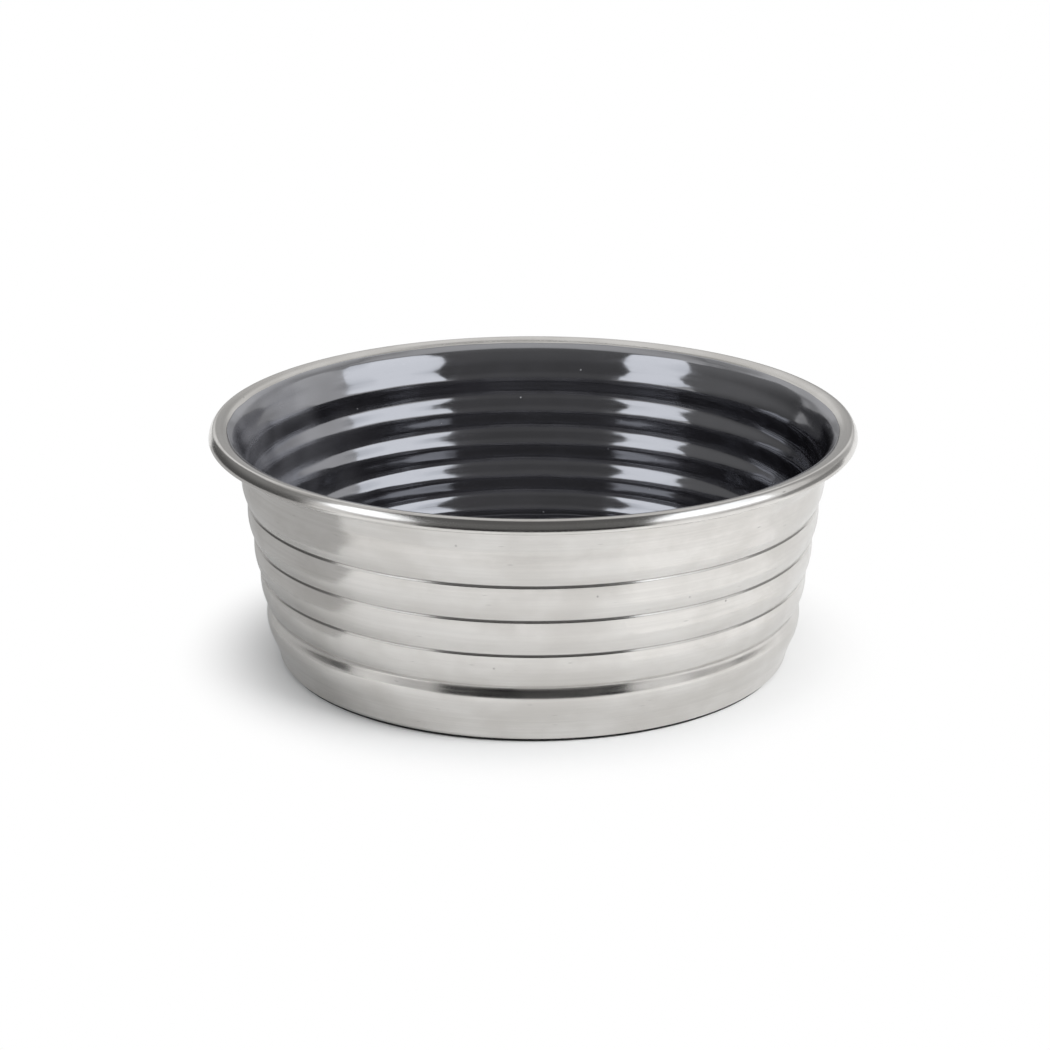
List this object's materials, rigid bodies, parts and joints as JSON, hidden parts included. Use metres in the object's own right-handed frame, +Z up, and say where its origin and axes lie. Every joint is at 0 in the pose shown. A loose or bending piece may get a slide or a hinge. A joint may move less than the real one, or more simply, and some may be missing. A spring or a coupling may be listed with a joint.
{
  "type": "pet bowl",
  "caption": "Round ribbed steel pet bowl with a rolled rim, a dark enamelled inside and a rubber anti-slip ring under its base, to hold food or water on the floor.",
  "frame": {"origin": "middle of the bowl's footprint, on the surface that it stands on", "axes": "+Z up along the bowl's axis of revolution; X and Y are any two directions across it"},
  "size_m": [0.2, 0.2, 0.075],
  "materials": {
    "steel": "satin-polished stainless steel with a fine drawn grain and light scuffs",
    "enamel": "glossy charcoal enamel with a few pale specks",
    "rubber": "matt black moulded rubber"
  },
  "bodies": {
    "root": {"steel_bowl": "steel", "enamel_lining": "enamel", "anti_slip_ring": "rubber"}
  },
  "joints": []
}
